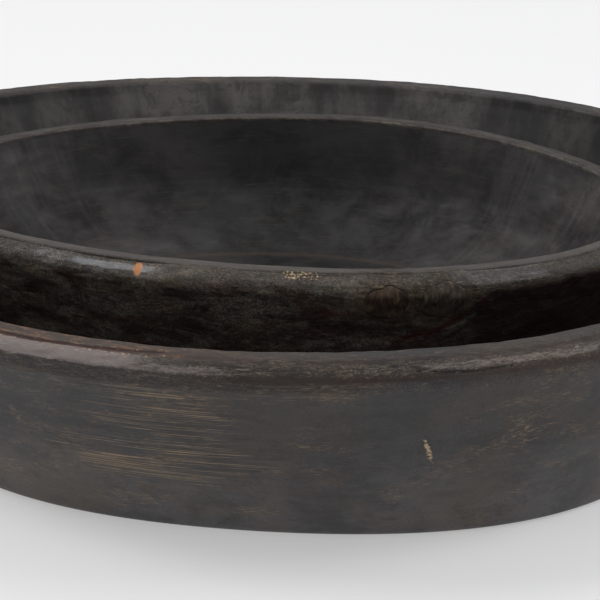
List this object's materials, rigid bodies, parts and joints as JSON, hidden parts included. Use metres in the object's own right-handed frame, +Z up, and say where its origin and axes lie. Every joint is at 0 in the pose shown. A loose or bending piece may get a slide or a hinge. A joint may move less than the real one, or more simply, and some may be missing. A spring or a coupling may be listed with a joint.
{
  "type": "nested carved wooden bowls",
  "caption": "Dark hand-carved wooden bowl, wide and shallow with a thick rounded rim, holding a smaller oval carved bowl that lifts out.",
  "frame": {"origin": "on the ground under the middle of the large bowl", "axes": "+Z up; +X to the right and +Y to the back as the front rim is seen; the small bowl is longer along X"},
  "size_m": [0.4064, 0.3956, 0.0823],
  "materials": {
    "outer_wood": "satin black-brown stain, worn to tan along the rim",
    "inner_wood": "polished black-brown stain, glossier on the rounded rim",
    "knot_wood": "dull reddish-brown knot wood, open and fibrous"
  },
  "bodies": {
    "large_bowl": {"outer_bowl": "outer_wood"},
    "small_bowl": {"inner_bowl": "inner_wood", "inner_knot_left": "knot_wood", "inner_knot_right": "knot_wood"}
  },
  "joints": [
    {"name": "inner_bowl_lift", "type": "slide", "parent": "large_bowl", "child": "small_bowl", "axis": [0, 0, 1], "range_m": [0, 0.12]}
  ]
}
